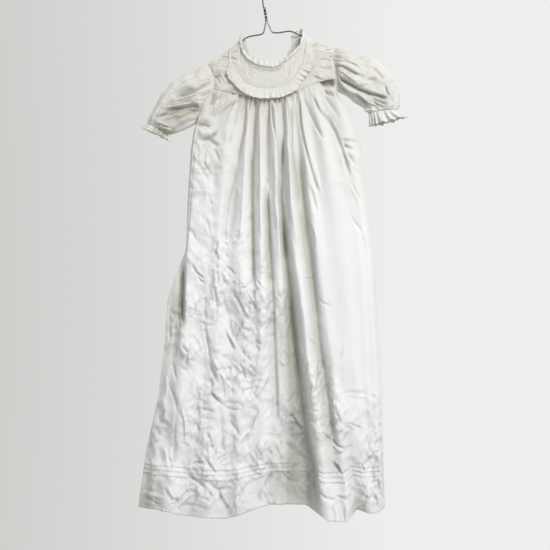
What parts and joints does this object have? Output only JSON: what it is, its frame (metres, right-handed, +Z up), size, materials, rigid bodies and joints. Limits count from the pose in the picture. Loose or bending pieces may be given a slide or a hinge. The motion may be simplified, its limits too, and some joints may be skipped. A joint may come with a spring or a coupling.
{
  "type": "baby gown on wire hanger",
  "caption": "Long white baby gown with a tucked round yoke, frilled neck, puffed sleeves and a gathered skirt with tucks above the hem, on a bent wire hanger.",
  "frame": {"origin": "inside top of the hanger's hook, where it rests on a rail", "axes": "+Z up, the gown's front towards -Y, +X to the right as seen from the front"},
  "size_m": [0.43, 0.0621, 0.8891],
  "materials": {
    "hanger": "dull drawn wire",
    "yoke_front": "plain-woven white cotton, creased",
    "yoke_back_left": "plain-woven white cotton, creased",
    "yoke_back_right": "plain-woven white cotton, creased",
    "neck_frill": "plain-woven white cotton, creased",
    "yoke_frill": "plain-woven white cotton, creased",
    "skirt_front": "plain-woven white cotton, creased",
    "skirt_back": "plain-woven white cotton, creased",
    "sleeve_left": "plain-woven white cotton, creased",
    "sleeve_right": "plain-woven white cotton, creased",
    "cuff_frill_left": "plain-woven white cotton, creased",
    "cuff_frill_right": "plain-woven white cotton, creased"
  },
  "bodies": {
    "root": {"hanger": "hanger", "yoke_front": "yoke_front", "yoke_back_left": "yoke_back_left", "yoke_back_right": "yoke_back_right", "neck_frill": "neck_frill", "yoke_frill": "yoke_frill", "skirt_front": "skirt_front", "skirt_back": "skirt_back", "sleeve_left": "sleeve_left", "sleeve_right": "sleeve_right", "cuff_frill_left": "cuff_frill_left", "cuff_frill_right": "cuff_frill_right"}
  },
  "joints": []
}
